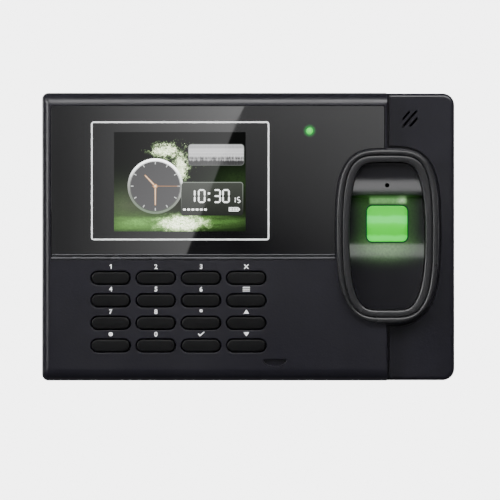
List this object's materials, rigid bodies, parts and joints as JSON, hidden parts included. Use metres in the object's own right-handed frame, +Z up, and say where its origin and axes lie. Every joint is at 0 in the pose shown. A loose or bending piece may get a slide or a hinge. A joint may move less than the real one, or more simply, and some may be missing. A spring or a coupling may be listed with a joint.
{
  "type": "fingerprint scanner terminal",
  "caption": "Wall-hung fingerprint and keypad access terminal with an oval finger cradle, colour display, glossy lens and rubber keys",
  "frame": {"origin": "centre of the wall plate's back face, on the wall", "axes": "+Z up, +X to the right of somebody facing the terminal, the face looks along -Y, so +Y points into the wall"},
  "size_m": [0.188, 0.0334, 0.131],
  "materials": {
    "casing": "fine satin grain",
    "lens": "high gloss",
    "trim": "satin",
    "rubber": "matte",
    "silicone": "matte",
    "ring": "satin",
    "reader": "satin",
    "glass": "polished, lit from behind",
    "clear_glass": "polished",
    "display": "gloss",
    "lamp": "gloss, lit from behind",
    "board": "solder mask",
    "steel": "satin",
    "dark_steel": "blackened",
    "gold": "bright",
    "black_plastic": "matte",
    "flex": "satin film",
    "connector_green": "moulded",
    "relay_blue": "moulded"
  },
  "bodies": {
    "terminal": {"rear_cover": "casing", "front_housing": "casing", "front_panel": "casing", "lens_panel": "lens", "divider_trim": "trim", "window_gasket": "rubber", "keypad_mat": "silicone", "reader_bezel": "ring", "reader_trim": "ring", "reader_cradle": "reader", "sensor_window": "glass", "sensor_prism": "clear_glass", "display_glass": "display", "status_light": "lamp", "keypad_board": "board", "status_board": "board", "imager_board": "board", "main_board": "board", "wall_plate": "steel", "display_frame": "steel", "coin_cell": "steel", "ethernet_jack": "steel", "usb_port": "steel", "usb_door_pin": "steel", "speaker_frame": "dark_steel", "case_screw_1": "dark_steel", "case_screw_2": "dark_steel", "case_screw_3": "dark_steel", "case_screw_4": "dark_steel", "lock_screw": "dark_steel", "cell_clip": "gold", "optics_housing": "black_plastic", "speaker_cone": "black_plastic", "processor": "black_plastic", "buzzer": "black_plastic", "power_jack": "black_plastic", "tamper_switch": "black_plastic", "sensor_lead": "black_plastic", "display_ribbon": "flex", "speaker_lead": "flex", "terminal_block": "connector_green", "lock_relay": "relay_blue"},
    "key_1": {"key_1": "rubber"},
    "key_2": {"key_2": "rubber"},
    "key_3": {"key_3": "rubber"},
    "key_escape": {"key_escape": "rubber"},
    "key_4": {"key_4": "rubber"},
    "key_5": {"key_5": "rubber"},
    "key_6": {"key_6": "rubber"},
    "key_menu": {"key_menu": "rubber"},
    "key_7": {"key_7": "rubber"},
    "key_8": {"key_8": "rubber"},
    "key_9": {"key_9": "rubber"},
    "key_up": {"key_up": "rubber"},
    "key_dot": {"key_dot": "rubber"},
    "key_0": {"key_0": "rubber"},
    "key_confirm": {"key_confirm": "rubber"},
    "key_down": {"key_down": "rubber"},
    "usb_door": {"usb_door": "casing"},
    "tamper_plunger": {"tamper_plunger": "connector_green"}
  },
  "joints": [
    {"name": "key_1_press", "type": "slide", "parent": "terminal", "child": "key_1", "axis": [0, 1, 0], "range_m": [0, 0.001], "stiffness_N_per_m": 600, "springref_m": -0.0005},
    {"name": "key_2_press", "type": "slide", "parent": "terminal", "child": "key_2", "axis": [0, 1, 0], "range_m": [0, 0.001], "stiffness_N_per_m": 600, "springref_m": -0.0005},
    {"name": "key_3_press", "type": "slide", "parent": "terminal", "child": "key_3", "axis": [0, 1, 0], "range_m": [0, 0.001], "stiffness_N_per_m": 600, "springref_m": -0.0005},
    {"name": "key_escape_press", "type": "slide", "parent": "terminal", "child": "key_escape", "axis": [0, 1, 0], "range_m": [0, 0.001], "stiffness_N_per_m": 600, "springref_m": -0.0005},
    {"name": "key_4_press", "type": "slide", "parent": "terminal", "child": "key_4", "axis": [0, 1, 0], "range_m": [0, 0.001], "stiffness_N_per_m": 600, "springref_m": -0.0005},
    {"name": "key_5_press", "type": "slide", "parent": "terminal", "child": "key_5", "axis": [0, 1, 0], "range_m": [0, 0.001], "stiffness_N_per_m": 600, "springref_m": -0.0005},
    {"name": "key_6_press", "type": "slide", "parent": "terminal", "child": "key_6", "axis": [0, 1, 0], "range_m": [0, 0.001], "stiffness_N_per_m": 600, "springref_m": -0.0005},
    {"name": "key_menu_press", "type": "slide", "parent": "terminal", "child": "key_menu", "axis": [0, 1, 0], "range_m": [0, 0.001], "stiffness_N_per_m": 600, "springref_m": -0.0005},
    {"name": "key_7_press", "type": "slide", "parent": "terminal", "child": "key_7", "axis": [0, 1, 0], "range_m": [0, 0.001], "stiffness_N_per_m": 600, "springref_m": -0.0005},
    {"name": "key_8_press", "type": "slide", "parent": "terminal", "child": "key_8", "axis": [0, 1, 0], "range_m": [0, 0.001], "stiffness_N_per_m": 600, "springref_m": -0.0005},
    {"name": "key_9_press", "type": "slide", "parent": "terminal", "child": "key_9", "axis": [0, 1, 0], "range_m": [0, 0.001], "stiffness_N_per_m": 600, "springref_m": -0.0005},
    {"name": "key_up_press", "type": "slide", "parent": "terminal", "child": "key_up", "axis": [0, 1, 0], "range_m": [0, 0.001], "stiffness_N_per_m": 600, "springref_m": -0.0005},
    {"name": "key_dot_press", "type": "slide", "parent": "terminal", "child": "key_dot", "axis": [0, 1, 0], "range_m": [0, 0.001], "stiffness_N_per_m": 600, "springref_m": -0.0005},
    {"name": "key_0_press", "type": "slide", "parent": "terminal", "child": "key_0", "axis": [0, 1, 0], "range_m": [0, 0.001], "stiffness_N_per_m": 600, "springref_m": -0.0005},
    {"name": "key_confirm_press", "type": "slide", "parent": "terminal", "child": "key_confirm", "axis": [0, 1, 0], "range_m": [0, 0.001], "stiffness_N_per_m": 600, "springref_m": -0.0005},
    {"name": "key_down_press", "type": "slide", "parent": "terminal", "child": "key_down", "axis": [0, 1, 0], "range_m": [0, 0.001], "stiffness_N_per_m": 600, "springref_m": -0.0005},
    {"name": "usb_door_hinge", "type": "hinge", "parent": "terminal", "child": "usb_door", "pos_m": [0.012, -0.011, -0.06415], "axis": [1, 0, 0], "range_deg": [0, 90]},
    {"name": "tamper_plunger_press", "type": "slide", "parent": "terminal", "child": "tamper_plunger", "axis": [0, -1, 0], "range_m": [0, 0.0005], "stiffness_N_per_m": 300, "springref_m": -0.0003}
  ]
}
